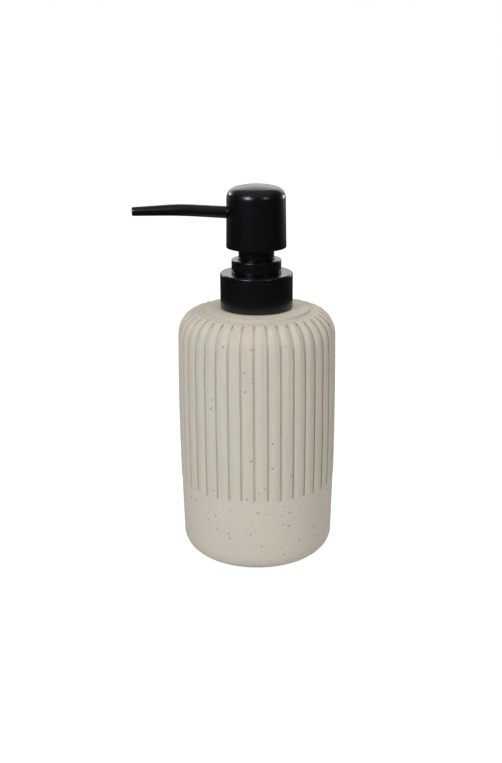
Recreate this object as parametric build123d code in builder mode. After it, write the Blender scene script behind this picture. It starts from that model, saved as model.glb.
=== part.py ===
"""Soap pump dispenser: a cast, ribbed bottle with a screw-on lotion pump.

Millimetres, +Z up. The origin is the centre of the foot, on the surface the bottle stands on.
The pump is at rest (head up) and its spout points along -X.
"""
from build123d import *
import os
from math import radians, sin, sqrt, tan

# ---------------------------------------------------------------- bottle
waist_radius = 37.4         # widest, at waist_height
waist_height = 80.0
foot_taper = 1.0            # narrower than the waist where the rounded foot meets the side
shoulder_taper = 0.3        # narrower than the waist where the side meets the rounded shoulder
shoulder_height = 120.3     # flat top of the shoulder
foot_round_width = 12.6     # the foot's quarter ellipse
foot_round_height = 10.6
shoulder_round_width = 8.9  # the shoulder's quarter ellipse
shoulder_round_height = 12.0
shoulder_flat = 3.5         # from the shoulder's round to the edge of the raised ring
rim_rise = 1.3              # raised ring that the pump's collar stands on
rim_slope = 0.5
side_wall = 4.5
floor_thickness = 6.0
shoulder_wall = 6.0
cavity_round = 8.0

# ---------------------------------------------------------------- ribs
groove_count = 38
groove_width = 1.2
groove_depth = 0.9
groove_foot_height = 38.6   # where the grooves stop above the plain foot
groove_top_margin = 1.8     # where they stop on the shoulder, outside its flat
groove_start_angle = 267.8  # of one groove, from +X

# ---------------------------------------------------------------- foot pad
pad_inset = 12.4            # from the foot's outside to the pad's edge
pad_thickness = 1.2
pad_proud = 0.4             # how far the pad stands below the bottle
pad_gap = 0.3

# ---------------------------------------------------------------- 28/410 neck
neck_wall = 1.9
thread_height = 1.15
thread_pitch = 4.23
thread_turns = 1.25
thread_root_width = 2.2
thread_crest_width = 1.0
thread_sink = 0.3           # how far a thread's root is let into its wall
thread_start = 2.9          # above the rim
neck_height = 12.2          # above the rim
insert_plug_step = 2.45     # plug's radius beyond the neck's
insert_flange_lip = 1.2     # flange's radius beyond the plug's
insert_flange_thickness = 1.5
glue_gap = 0.1

# ---------------------------------------------------------------- collar (closure)
collar_gap = 0.4            # between the rim and the collar's lower edge
core_wall = 1.95
sleeve_wall = 1.0
sleeve_top = 1.0
sleeve_edge_round = 0.8
core_top = 0.85
core_lift = 0.3             # the threaded core stops short of the sleeve's edge
thread_clearance = 0.25     # radial, crest to wall
turning_gap = 0.05          # axial, where the collar turns on the pump's flange
collar_hole_gap = 0.25

# ---------------------------------------------------------------- pump stack
gasket_thickness = 1.2
flange_thickness = 1.4
flange_inset = 0.15         # flange and gasket are this much smaller than the neck
lock_overhang = 1.2         # lock collar's radius beyond the housing's cup
lock_height = 6.1
lock_gap = 0.1              # between the collar's top and the lock collar
lock_edge_round = 0.5
lock_plug_wall = 0.9
lock_floor = 1.0
neck_bore_gap = 0.3

# ---------------------------------------------------------------- head
head_stroke = 11.3
head_stop_gap = 0.4         # left between the head and the collar at full stroke
head_slide_gap = 1.17       # radial, head's skirt round the lock collar
head_taper = 0.35
head_height = 28.8
head_corner_radius = 5.1
head_crown_radius = 35.0
head_wall = 1.2
head_edge_chamfer = 0.4
snap_bead_height = 0.7
snap_bead_rise = 0.35

# ---------------------------------------------------------------- actuator core
hub_radius = 8.25
hub_wall = 1.2
hub_overlap = 2.5           # hub inside the lock collar, at rest
hub_slide_gap = 0.2
hub_floor_gap = 0.5         # left under the hub at full stroke
boss_wall = 1.7             # round the stem
boss_foot = 1.5             # boss's lower end above the head's lower edge
core_web_height = 7.5       # web's underside above the head's lower edge
core_web_thickness = 1.6
core_web_gap = 0.05
socket_wall = 1.7           # of the level socket that takes the spout
socket_end = 10.8           # its mouth, from the axis

# ---------------------------------------------------------------- spout
spout_root_reach = 6.5      # inner end, from the axis
spout_root_lift = 15.7      # lifts are above the head's lower edge
spout_knee_reach = 34.7
spout_knee_lift = 17.4
spout_tip_reach = 56.6
spout_tip_lift = 16.7
spout_bend_radius = 150.0
spout_root_radius = 2.8
spout_knee_radius = 2.7
spout_tip_radius = 2.03
spout_wall_root = 1.05
spout_wall_tip = 0.8
spout_stations = 9
spout_hole_gap = 0.1
spout_fit_gap = 0.03

# ---------------------------------------------------------------- stem, piston and its seat
stem_radius = 3.5
stem_wall = 1.6
stem_foot_step = 0.9        # its lower end is this much slimmer, inside the piston and its seat
stem_foot_wall = 1.1
stem_socket_depth = 11.5    # stem inside the boss
stem_slide_gap = 0.1
stem_step_height = 4.2      # step above the piston seat's flange
stem_foot_depth = 3.0       # stem foot inside the seat's socket
port_width = 1.4
port_height = 1.3
port_lift = 0.15            # above the seat's flange
fit_gap = 0.05              # running fits of stem, seat and piston
piston_height = 6.5
piston_lip_gap = 0.05
piston_shift = 1.0          # lost motion of the piston on the stem
piston_shift_gap = 0.1
piston_rest_gap = 1.4       # piston's top to the lock collar's floor, at rest
piston_sleeve_wall = 0.95
piston_channel = 0.5        # between the sleeve and a lip
piston_lip_wall = 0.55
piston_web_thickness = 1.6
seat_flange_gap = 0.7       # to the barrel
seat_flange_thickness = 1.5
seat_hub_wall = 0.95
seat_hub_depth = 4.7        # below the flange's top
seat_gap = 0.05

# ---------------------------------------------------------------- housing and inlet valve
barrel_wall = 1.1
cup_wall = 1.0
cup_floor = 1.5
vent_radius = 0.6
vent_drop = 3.5             # below the cup's floor
barrel_length = 44.8        # from the cup's floor to the valve floor
valve_rim_margin = 0.6      # the seat cone's wide end beyond the ball
valve_throat_radius = 1.6
valve_half_angle = 30.0
valve_throat_length = 1.2
tail_wall = 1.2
tail_length = 11.0
tail_chamfer = 0.6

ball_radius = 2.4
ball_seat_gap = 0.03
ball_lift = 1.2
cage_bore_gap = 0.35
cage_flange_height = 2.0
cage_side_gap = 0.05
cage_turret_wall = 0.85
cage_bar_width = 1.5
cage_bar_height = 1.2
cage_bar_gap = 0.1
cage_window_width = 1.8

tube_radius = 3.25
tube_wall = 0.75
tube_floor_gap = 3.0        # tube's tip above the bottle's floor
tube_cut_angle = 30.0

spring_wire_radius = 0.4
spring_side_gap = 0.6       # to the barrel
spring_turns = 11
spring_end_gap = 0.02

# ---------------------------------------------------------------- radii worked out from the above
foot_radius = waist_radius - foot_taper
shoulder_radius = waist_radius - shoulder_taper
rim_radius = shoulder_radius - shoulder_round_width - shoulder_flat
groove_top_radius = shoulder_radius - shoulder_round_width + groove_top_margin
cavity_radius = foot_radius - side_wall
pad_radius = foot_radius - pad_inset

lock_bore = hub_radius + hub_slide_gap
cup_bore = lock_bore + lock_plug_wall
cup_radius = cup_bore + cup_wall
lock_radius = cup_radius + lock_overhang
neck_bore = cup_radius + neck_bore_gap
neck_radius = neck_bore + neck_wall
thread_radius = neck_radius + thread_height
insert_plug_radius = neck_radius + insert_plug_step
insert_flange_radius = insert_plug_radius + insert_flange_lip
flange_radius = neck_radius - flange_inset
collar_hole = cup_radius + collar_hole_gap
core_crest = neck_radius + thread_clearance
core_bore = thread_radius + thread_clearance
core_radius = core_bore + core_wall
collar_radius = core_radius + sleeve_wall
head_radius_low = lock_radius + head_slide_gap + head_wall
head_radius_high = head_radius_low - head_taper

socket_radius = spout_root_radius + socket_wall
boss_radius = stem_radius + boss_wall
stem_bore_radius = stem_radius - stem_wall
stem_foot_radius = stem_radius - stem_foot_step
stem_foot_bore = stem_foot_radius - stem_foot_wall
piston_bore = stem_radius + fit_gap
piston_sleeve_radius = piston_bore + piston_sleeve_wall
piston_lip_bore = piston_sleeve_radius + piston_channel
piston_lip_radius = piston_lip_bore + piston_lip_wall
barrel_bore = piston_lip_radius + piston_lip_gap
barrel_radius = barrel_bore + barrel_wall
seat_socket_radius = stem_foot_radius + fit_gap
seat_hub_radius = seat_socket_radius + seat_hub_wall
seat_flange_radius = barrel_bore - seat_flange_gap
spring_radius = barrel_bore - spring_side_gap - spring_wire_radius
valve_rim_radius = ball_radius + valve_rim_margin
cage_bore = ball_radius + cage_bore_gap
cage_turret_radius = cage_bore + cage_turret_wall
tube_bore = tube_radius - tube_wall
tail_radius = tube_radius + tail_wall

# ---------------------------------------------------------------- heights worked out from the above
foot_level = pad_proud
cavity_floor = foot_level + floor_thickness
cavity_top = shoulder_height - shoulder_wall
rim_top = shoulder_height + rim_rise
neck_top = rim_top + neck_height
flange_bottom = neck_top + gasket_thickness
flange_top = flange_bottom + flange_thickness
collar_bottom = rim_top + collar_gap
core_web_bottom = flange_top + turning_gap
sleeve_web_bottom = core_web_bottom + core_top
collar_top = sleeve_web_bottom + sleeve_top
lock_bottom = collar_top + lock_gap
lock_top = lock_bottom + lock_height
head_bottom = collar_top + head_stroke + head_stop_gap
head_top = head_bottom + head_height
hub_bottom = lock_top - hub_overlap
lock_floor_top = hub_bottom - head_stroke - hub_floor_gap
lock_floor_bottom = lock_floor_top - lock_floor
core_web_low = head_bottom + core_web_height
core_web_high = core_web_low + core_web_thickness
spout_root_height = head_bottom + spout_root_lift
spout_knee_height = head_bottom + spout_knee_lift
spout_tip_height = head_bottom + spout_tip_lift

valve_floor = lock_floor_bottom - barrel_length
valve_slope = tan(radians(valve_half_angle))
valve_cone_foot = valve_floor - (valve_rim_radius - valve_throat_radius) / valve_slope
valve_throat_foot = valve_cone_foot - valve_throat_length
valve_apex = valve_cone_foot - valve_throat_radius / valve_slope
ball_centre = valve_apex + ball_radius / sin(radians(valve_half_angle)) + ball_seat_gap
tail_foot = valve_throat_foot - tail_length
cage_bar_low = ball_centre + ball_radius + ball_lift + cage_bar_gap
cage_top = cage_bar_low + cage_bar_height
spring_floor = valve_floor + cage_flange_height

piston_top = lock_floor_bottom - piston_rest_gap
piston_foot = piston_top - piston_height
seat_top = piston_foot - seat_gap
spring_ceiling = seat_top - seat_flange_thickness
seat_foot = seat_top - seat_hub_depth
stem_step = seat_top + stem_step_height
stem_foot = seat_top - stem_foot_depth
boss_bottom = head_bottom + boss_foot
stem_top = boss_bottom + stem_socket_depth

above = 10.0                # how far cutting solids run past what they cut
seam = 0.2                  # overlap of a cutter with open air

os.makedirs("parts", exist_ok=True)


# ---------------------------------------------------------------- bottle_body
def bottle_section(depth=0.0):
    """Half section of the bottle's outside, or of a surface that lies depth under it."""
    foot_centre = (foot_radius - foot_round_width, foot_level + foot_round_height)
    foot_end = (foot_radius - depth, foot_level + foot_round_height)
    waist = (waist_radius - depth, waist_height)
    shoulder_start = (shoulder_radius - depth, shoulder_height - shoulder_round_height)
    shoulder_centre = (shoulder_radius - shoulder_round_width, shoulder_height - shoulder_round_height)
    with BuildSketch(Plane.XZ) as section:
        with BuildLine():
            EllipticalCenterArc(
                foot_centre,
                foot_round_width - depth,
                foot_round_height - depth,
                start_angle=270,
                arc_size=90,
            )
            ThreePointArc(foot_end, waist, shoulder_start)
            EllipticalCenterArc(
                shoulder_centre, shoulder_round_width - depth, shoulder_round_height - depth, arc_size=90
            )
            Polyline(
                (shoulder_centre[0], shoulder_height - depth),
                (rim_radius + rim_slope, shoulder_height - depth),
                (rim_radius, rim_top),
                (0, rim_top),
                (0, foot_level + depth),
                (foot_centre[0], foot_level + depth),
            )
        make_face()
    return section


# one groove's cutter: everything outside a surface groove_depth under the bottle's
with BuildPart() as groove_cutter:
    with BuildSketch(Plane.XZ):
        with BuildLine():
            Polyline(
                (groove_top_radius, groove_foot_height),
                (waist_radius + above, groove_foot_height),
                (waist_radius + above, rim_top + above),
                (groove_top_radius, rim_top + above),
                close=True,
            )
        make_face()
        add(bottle_section(groove_depth).sketch_local, mode=Mode.SUBTRACT)
    extrude(amount=groove_width / 2, both=True)

with BuildPart() as bottle_body:
    add(bottle_section().sketch)
    revolve(axis=Axis.Z)
    with BuildSketch(Plane.XZ):
        with BuildLine():
            Polyline(
                (0, cavity_floor),
                (cavity_radius, cavity_floor),
                (cavity_radius, cavity_top),
                (0, cavity_top),
                close=True,
            )
        make_face()
        fillet([v for v in vertices() if v.X > cavity_radius / 2], cavity_round)
    revolve(axis=Axis.Z, mode=Mode.SUBTRACT)
    # mouth, with a counterbore for the neck insert's flange
    with BuildSketch(Plane.XY.offset(rim_top)):
        Circle(insert_flange_radius + glue_gap)
    extrude(amount=-insert_flange_thickness, mode=Mode.SUBTRACT)
    with BuildSketch(Plane.XY.offset(cavity_top - cavity_round)):
        Circle(insert_plug_radius + glue_gap)
    extrude(amount=cavity_round + shoulder_wall + above, mode=Mode.SUBTRACT)
    # recess for the foot pad
    with BuildSketch():
        Circle(pad_radius + pad_gap)
    extrude(amount=pad_thickness, mode=Mode.SUBTRACT)
    with PolarLocations(0, groove_count, start_angle=groove_start_angle):
        add(groove_cutter.part, mode=Mode.SUBTRACT)
bottle_body.part.label = "bottle_body"
export_step(bottle_body.part, "parts/bottle_body.step")

# ---------------------------------------------------------------- base_pad
with BuildPart() as base_pad:
    with BuildSketch():
        Circle(pad_radius)
    extrude(amount=pad_thickness)
base_pad.part.label = "base_pad"
export_step(base_pad.part, "parts/base_pad.step")

# ---------------------------------------------------------------- neck_insert
with BuildPart() as neck_insert:
    with BuildSketch(Plane.XY.offset(cavity_top)):
        Circle(insert_plug_radius)
    extrude(amount=rim_top - cavity_top)
    with BuildSketch(Plane.XY.offset(rim_top - insert_flange_thickness)):
        Circle(insert_flange_radius)
    extrude(amount=insert_flange_thickness)
    with BuildSketch(Plane.XY.offset(rim_top)):
        Circle(neck_radius)
    extrude(amount=neck_height)
    with BuildLine() as neck_helix:
        Helix(
            thread_pitch,
            thread_pitch * thread_turns,
            neck_radius - thread_sink,
            center=(0, 0, rim_top + thread_start),
        )
    thread_depth = thread_radius - neck_radius + thread_sink
    with BuildSketch(Plane(neck_helix.line @ 0, x_dir=(1, 0, 0), z_dir=neck_helix.line % 0)):
        with BuildLine():
            Polyline(
                (0, -thread_root_width / 2),
                (thread_depth, -thread_crest_width / 2),
                (thread_depth, thread_crest_width / 2),
                (0, thread_root_width / 2),
                close=True,
            )
        make_face()
    sweep(path=neck_helix.line, is_frenet=True)
    with BuildSketch(Plane.XY.offset(cavity_top)):
        Circle(neck_bore)
    extrude(amount=neck_top - cavity_top, mode=Mode.SUBTRACT)
neck_insert.part.label = "neck_insert"
export_step(neck_insert.part, "parts/neck_insert.step")

# ---------------------------------------------------------------- closure_core
with BuildPart() as closure_core:
    with BuildSketch(Plane.XY.offset(collar_bottom + core_lift)):
        Circle(core_radius)
    extrude(amount=sleeve_web_bottom - collar_bottom - core_lift)
    with BuildSketch(Plane.XY.offset(collar_bottom + core_lift)):
        Circle(core_bore)
    extrude(amount=core_web_bottom - collar_bottom - core_lift, mode=Mode.SUBTRACT)
    with BuildSketch(Plane.XY.offset(core_web_bottom)):
        Circle(collar_hole)
    extrude(amount=core_top, mode=Mode.SUBTRACT)
    with BuildLine() as core_helix:
        Helix(
            thread_pitch,
            thread_pitch * thread_turns,
            core_bore + thread_sink,
            center=(0, 0, rim_top + thread_start + thread_pitch / 2),
        )
    core_thread_depth = core_bore + thread_sink - core_crest
    with BuildSketch(Plane(core_helix.line @ 0, x_dir=(-1, 0, 0), z_dir=core_helix.line % 0)):
        with BuildLine():
            Polyline(
                (0, -thread_root_width / 2),
                (core_thread_depth, -thread_crest_width / 2),
                (core_thread_depth, thread_crest_width / 2),
                (0, thread_root_width / 2),
                close=True,
            )
        make_face()
    sweep(path=core_helix.line, is_frenet=True)
closure_core.part.label = "closure_core"
export_step(closure_core.part, "parts/closure_core.step")

# ---------------------------------------------------------------- closure_sleeve
with BuildPart() as closure_sleeve:
    with BuildSketch(Plane.XZ):
        with BuildLine():
            Polyline(
                (core_radius, collar_bottom),
                (collar_radius, collar_bottom),
                (collar_radius, collar_top),
                (collar_hole, collar_top),
                (collar_hole, sleeve_web_bottom),
                (core_radius, sleeve_web_bottom),
                close=True,
            )
        make_face()
        fillet(vertices().group_by(Axis.Y)[-1].sort_by(Axis.X)[-1], sleeve_edge_round)
    revolve(axis=Axis.Z)
closure_sleeve.part.label = "closure_sleeve"
export_step(closure_sleeve.part, "parts/closure_sleeve.step")

# ---------------------------------------------------------------- neck_gasket
with BuildPart() as neck_gasket:
    with BuildSketch(Plane.XY.offset(neck_top)):
        Circle(flange_radius)
        Circle(cup_radius, mode=Mode.SUBTRACT)
    extrude(amount=gasket_thickness)
neck_gasket.part.label = "neck_gasket"
export_step(neck_gasket.part, "parts/neck_gasket.step")

# ---------------------------------------------------------------- lock_collar
with BuildPart() as lock_collar:
    with BuildSketch(Plane.XZ):
        with BuildLine():
            Polyline(
                (stem_radius + stem_slide_gap, lock_floor_bottom),
                (cup_bore, lock_floor_bottom),
                (cup_bore, lock_bottom),
                (lock_radius, lock_bottom),
                (lock_radius, lock_top),
                (lock_bore, lock_top),
                (lock_bore, lock_floor_top),
                (stem_radius + stem_slide_gap, lock_floor_top),
                close=True,
            )
        make_face()
        fillet([v for v in vertices() if v.X > cup_bore + seam], lock_edge_round)
    revolve(axis=Axis.Z)
lock_collar.part.label = "lock_collar"
export_step(lock_collar.part, "parts/lock_collar.step")

# ---------------------------------------------------------------- pump_housing
with BuildPart() as pump_housing:
    with BuildSketch(Plane.XZ):
        with BuildLine():
            Polyline(
                (barrel_bore, lock_floor_bottom),
                (cup_bore, lock_floor_bottom),
                (cup_bore, lock_bottom),
                (cup_radius, lock_bottom),
                (cup_radius, flange_top),
                (flange_radius, flange_top),
                (flange_radius, flange_bottom),
                (cup_radius, flange_bottom),
                (cup_radius, lock_floor_bottom - cup_floor),
                (barrel_radius, lock_floor_bottom - cup_floor),
                (barrel_radius, valve_floor - tail_chamfer),
                (tail_radius, valve_throat_foot),
                (tail_radius, tail_foot),
                (tube_radius, tail_foot),
                (tube_radius, valve_throat_foot),
                (valve_throat_radius, valve_throat_foot),
                (valve_throat_radius, valve_cone_foot),
                (valve_rim_radius, valve_floor),
                (barrel_bore, valve_floor),
                close=True,
            )
        make_face()
    revolve(axis=Axis.Z)
    # vent that lets air into the bottle as the soap is drawn
    with BuildSketch(Plane.XZ):
        with Locations((0, lock_floor_bottom - cup_floor - vent_drop)):
            Circle(vent_radius)
    extrude(amount=barrel_radius + seam, mode=Mode.SUBTRACT)
pump_housing.part.label = "pump_housing"
export_step(pump_housing.part, "parts/pump_housing.step")

# ---------------------------------------------------------------- dip_tube
with BuildPart() as dip_tube:
    with BuildSketch(Plane.XY.offset(cavity_floor + tube_floor_gap)):
        Circle(tube_radius)
        Circle(tube_bore, mode=Mode.SUBTRACT)
    extrude(amount=valve_throat_foot - cavity_floor - tube_floor_gap)
    # slanted lower end, so that the tube can't seal itself against the floor
    tube_tip = Plane((-tube_radius, 0, cavity_floor + tube_floor_gap), z_dir=Axis.Z.direction)
    split(bisect_by=tube_tip.rotated((0, tube_cut_angle, 0)), keep=Keep.TOP)
dip_tube.part.label = "dip_tube"
export_step(dip_tube.part, "parts/dip_tube.step")

# ---------------------------------------------------------------- inlet_ball
with BuildPart() as inlet_ball:
    with Locations((0, 0, ball_centre)):
        Sphere(ball_radius)
inlet_ball.part.label = "inlet_ball"
export_step(inlet_ball.part, "parts/inlet_ball.step")

# ---------------------------------------------------------------- ball_cage
with BuildPart() as ball_cage:
    with BuildSketch(Plane.XY.offset(valve_floor)):
        Circle(barrel_bore - cage_side_gap)
        Circle(cage_bore, mode=Mode.SUBTRACT)
    extrude(amount=cage_flange_height)
    with BuildSketch(Plane.XY.offset(spring_floor)):
        Circle(cage_turret_radius)
        Circle(cage_bore, mode=Mode.SUBTRACT)
    extrude(amount=cage_top - spring_floor)
    # side windows for the soap, below the cross bar
    with BuildSketch(Plane.XY.offset(spring_floor)):
        Rectangle(2 * barrel_bore, cage_window_width)
        Rectangle(cage_window_width, 2 * barrel_bore)
    extrude(amount=cage_bar_low - spring_floor, mode=Mode.SUBTRACT)
    # cross bar that stops the ball
    with BuildSketch(Plane.XY.offset(cage_bar_low)):
        Rectangle(2 * cage_bore + cage_turret_wall, cage_bar_width)
        Rectangle(cage_bar_width, 2 * cage_bore + cage_turret_wall)
    extrude(amount=cage_bar_height)
ball_cage.part.label = "ball_cage"
export_step(ball_cage.part, "parts/ball_cage.step")

# ---------------------------------------------------------------- return_spring
spring_low = spring_floor + spring_wire_radius + spring_end_gap
spring_high = spring_ceiling - spring_wire_radius - spring_end_gap
with BuildPart() as return_spring:
    with BuildLine() as spring_helix:
        Helix(
            (spring_high - spring_low) / spring_turns,
            spring_high - spring_low,
            spring_radius,
            center=(0, 0, spring_low),
        )
    with BuildSketch(Plane(spring_helix.line @ 0, z_dir=spring_helix.line % 0)):
        Circle(spring_wire_radius)
    sweep(path=spring_helix.line, is_frenet=True)
return_spring.part.label = "return_spring"
export_step(return_spring.part, "parts/return_spring.step")

# ---------------------------------------------------------------- piston_seat
with BuildPart() as piston_seat:
    with BuildSketch(Plane.XY.offset(seat_foot)):
        Circle(seat_hub_radius)
    extrude(amount=seat_hub_depth)
    with BuildSketch(Plane.XY.offset(spring_ceiling)):
        Circle(seat_flange_radius)
    extrude(amount=seat_flange_thickness)
    with BuildSketch(Plane.XY.offset(stem_foot - fit_gap)):
        Circle(seat_socket_radius)
    extrude(amount=stem_foot_depth + fit_gap, mode=Mode.SUBTRACT)
piston_seat.part.label = "piston_seat"
export_step(piston_seat.part, "parts/piston_seat.step")

# ---------------------------------------------------------------- piston
with BuildPart() as piston:
    with BuildSketch(Plane.XY.offset(piston_foot)):
        Circle(piston_lip_radius)
    extrude(amount=piston_height)
    # two sealing lips, above and below the web
    piston_web_low = piston_foot + (piston_height - piston_web_thickness) / 2
    piston_web_high = piston_web_low + piston_web_thickness
    with BuildSketch(Plane.XY.offset(piston_web_high)):
        Circle(piston_lip_bore)
        Circle(piston_sleeve_radius, mode=Mode.SUBTRACT)
    extrude(amount=piston_top - piston_web_high, mode=Mode.SUBTRACT)
    with BuildSketch(Plane.XY.offset(piston_web_low)):
        Circle(piston_lip_bore)
        Circle(piston_sleeve_radius, mode=Mode.SUBTRACT)
    extrude(amount=piston_foot - piston_web_low, mode=Mode.SUBTRACT)
    # stepped bore that the stem pushes on
    with BuildSketch(Plane.XY.offset(piston_foot)):
        Circle(seat_socket_radius)
    extrude(amount=piston_height, mode=Mode.SUBTRACT)
    with BuildSketch(Plane.XY.offset(stem_step - piston_shift - piston_shift_gap)):
        Circle(piston_bore)
    extrude(amount=piston_height, mode=Mode.SUBTRACT)
piston.part.label = "piston"
export_step(piston.part, "parts/piston.step")

# ---------------------------------------------------------------- stem
with BuildPart() as stem:
    with BuildSketch(Plane.XY.offset(stem_step)):
        Circle(stem_radius)
        Circle(stem_bore_radius, mode=Mode.SUBTRACT)
    extrude(amount=stem_top - stem_step)
    with BuildSketch(Plane.XY.offset(stem_foot)):
        Circle(stem_foot_radius)
        Circle(stem_foot_bore, mode=Mode.SUBTRACT)
    extrude(amount=stem_step - stem_foot)
    # ports that open when the piston lags behind the stem
    with BuildSketch(Plane.XY.offset(seat_top + port_lift)):
        Rectangle(2 * stem_radius, port_width)
        Rectangle(port_width, 2 * stem_radius)
    extrude(amount=port_height, mode=Mode.SUBTRACT)
stem.part.label = "stem"
export_step(stem.part, "parts/stem.step")

# ---------------------------------------------------------------- head_shell
corner_centre_radius = head_radius_high - head_corner_radius
crown_centre = head_top - head_crown_radius
crown_reach = head_crown_radius - head_corner_radius
corner_centre_height = crown_centre + sqrt(crown_reach**2 - corner_centre_radius**2)
with BuildSketch(Plane.XZ) as head_outline:
    with BuildLine():
        crown_end = (
            corner_centre_radius * head_crown_radius / crown_reach,
            crown_centre + (corner_centre_height - crown_centre) * head_crown_radius / crown_reach,
        )
        crown_middle_radius = crown_end[0] / 2
        crown_middle = (
            crown_middle_radius,
            crown_centre + sqrt(head_crown_radius**2 - crown_middle_radius**2),
        )
        ThreePointArc((0, head_top), crown_middle, crown_end)
        RadiusArc(crown_end, (head_radius_high, corner_centre_height), head_corner_radius)
        Polyline(
            (head_radius_high, corner_centre_height),
            (head_radius_low, head_bottom),
            (0, head_bottom),
            (0, head_top),
        )
    make_face()

bead_top = core_web_low - core_web_gap
inner_radius_low = head_radius_low - head_wall
inner_radius_high = head_radius_high - head_wall
web_share = (core_web_low - head_bottom) / (corner_centre_height - head_bottom)
core_web_radius = inner_radius_low - (inner_radius_low - inner_radius_high) * web_share - core_web_gap

spout_root = (-spout_root_reach, 0, spout_root_height)
spout_knee = (-spout_knee_reach, 0, spout_knee_height)
spout_tip = (-spout_tip_reach, 0, spout_tip_height)
with BuildLine() as spout_line:
    FilletPolyline(spout_root, spout_knee, spout_tip, radius=spout_bend_radius)
spout_direction = spout_line.line % 0
spout_root_plane = Plane(spout_root, z_dir=spout_direction)

with BuildPart() as head_shell:
    add(head_outline.sketch)
    revolve(axis=Axis.Z)
    offset(amount=-head_wall, openings=faces().sort_by(Axis.Z)[0])
    chamfer(edges().group_by(Axis.Z)[0].sort_by(SortBy.LENGTH)[-1], head_edge_chamfer)
    # bead that the actuator core's web snaps over
    with BuildSketch(Plane.XY.offset(bead_top - snap_bead_height)):
        Circle(inner_radius_low + snap_bead_rise)
        Circle(inner_radius_high - snap_bead_rise, mode=Mode.SUBTRACT)
    extrude(amount=snap_bead_height)
    with BuildSketch(spout_root_plane):
        Circle(spout_root_radius + spout_hole_gap)
    extrude(amount=head_radius_low, mode=Mode.SUBTRACT)
head_shell.part.label = "head_shell"
export_step(head_shell.part, "parts/head_shell.step")

# ---------------------------------------------------------------- actuator_core
with BuildPart() as actuator_core:
    with BuildSketch(Plane.XY.offset(hub_bottom)):
        Circle(hub_radius)
        Circle(hub_radius - hub_wall, mode=Mode.SUBTRACT)
    extrude(amount=core_web_high - hub_bottom)
    with BuildSketch(Plane.XY.offset(core_web_low)):
        Circle(core_web_radius)
    extrude(amount=core_web_thickness)
    with BuildSketch(Plane.XY.offset(boss_bottom)):
        Circle(boss_radius)
    extrude(amount=spout_root_height + socket_radius - boss_bottom)
    # horizontal socket that holds the spout, and its web down to the disc
    socket_start = spout_root_plane.offset(-spout_root_reach)
    with BuildSketch(socket_start):
        Circle(socket_radius)
    extrude(amount=socket_end)
    with BuildSketch(Plane.XY.offset(core_web_high)):
        with Locations((-socket_end / 2, 0)):
            Rectangle(socket_end, spout_root_radius)
    extrude(amount=spout_root_height - core_web_high)
    # passages: stem socket, rising channel, turn into the spout
    with BuildSketch(Plane.XY.offset(boss_bottom)):
        Circle(stem_radius)
    extrude(amount=stem_socket_depth, mode=Mode.SUBTRACT)
    with BuildSketch(Plane.XY.offset(stem_top)):
        Circle(stem_bore_radius)
    extrude(amount=spout_root_height - stem_top, mode=Mode.SUBTRACT)
    with BuildSketch(socket_start):
        Circle(stem_bore_radius)
    extrude(amount=spout_root_reach, mode=Mode.SUBTRACT)
    with BuildSketch(spout_root_plane):
        Circle(spout_root_radius + spout_fit_gap)
    extrude(amount=socket_end, mode=Mode.SUBTRACT)
actuator_core.part.label = "actuator_core"
export_step(actuator_core.part, "parts/actuator_core.step")

# ---------------------------------------------------------------- spout
knee_share = (spout_knee_reach - spout_root_reach) / (spout_tip_reach - spout_root_reach)


def tapered(share, root, knee, tip):
    """Radius at a share of the spout's length: straight tapers that meet at the knee."""
    if share < knee_share:
        return root + (knee - root) * share / knee_share
    return knee + (tip - knee) * (share - knee_share) / (1 - knee_share)


with BuildPart() as spout:
    for station in range(spout_stations):
        share = station / (spout_stations - 1)
        with BuildSketch(Plane(spout_line.line @ share, z_dir=spout_line.line % share)):
            Circle(tapered(share, spout_root_radius, spout_knee_radius, spout_tip_radius))
    loft()
    for station in range(spout_stations):
        share = station / (spout_stations - 1)
        bore_root = spout_root_radius - spout_wall_root
        bore_knee = spout_knee_radius - spout_wall_root
        with BuildSketch(Plane(spout_line.line @ share, z_dir=spout_line.line % share)):
            Circle(tapered(share, bore_root, bore_knee, spout_tip_radius - spout_wall_tip))
    loft(mode=Mode.SUBTRACT)
spout.part.label = "spout"
export_step(spout.part, "parts/spout.step")
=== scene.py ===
"""Looks of a soap pump dispenser: cast ribbed bottle, black lotion pump. Metres, +Z up."""
import math

import bmesh
import bpy
import numpy as np
from mathutils import Matrix, Vector


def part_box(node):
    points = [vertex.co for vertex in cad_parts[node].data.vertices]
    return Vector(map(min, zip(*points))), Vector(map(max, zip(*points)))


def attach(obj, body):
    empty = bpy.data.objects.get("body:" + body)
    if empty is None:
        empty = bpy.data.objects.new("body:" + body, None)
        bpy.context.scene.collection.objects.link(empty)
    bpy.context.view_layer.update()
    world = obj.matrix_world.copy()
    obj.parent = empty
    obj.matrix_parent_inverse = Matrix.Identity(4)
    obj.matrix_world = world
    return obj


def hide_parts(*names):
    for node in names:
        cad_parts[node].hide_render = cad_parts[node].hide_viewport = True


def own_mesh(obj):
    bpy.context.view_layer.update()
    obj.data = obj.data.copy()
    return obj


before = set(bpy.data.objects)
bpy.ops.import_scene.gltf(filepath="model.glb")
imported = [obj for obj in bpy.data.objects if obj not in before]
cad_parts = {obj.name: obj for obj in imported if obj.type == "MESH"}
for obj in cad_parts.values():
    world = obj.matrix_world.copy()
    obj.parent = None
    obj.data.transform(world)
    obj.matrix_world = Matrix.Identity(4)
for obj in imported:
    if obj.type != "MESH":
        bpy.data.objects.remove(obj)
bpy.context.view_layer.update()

MM = 0.001


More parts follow.
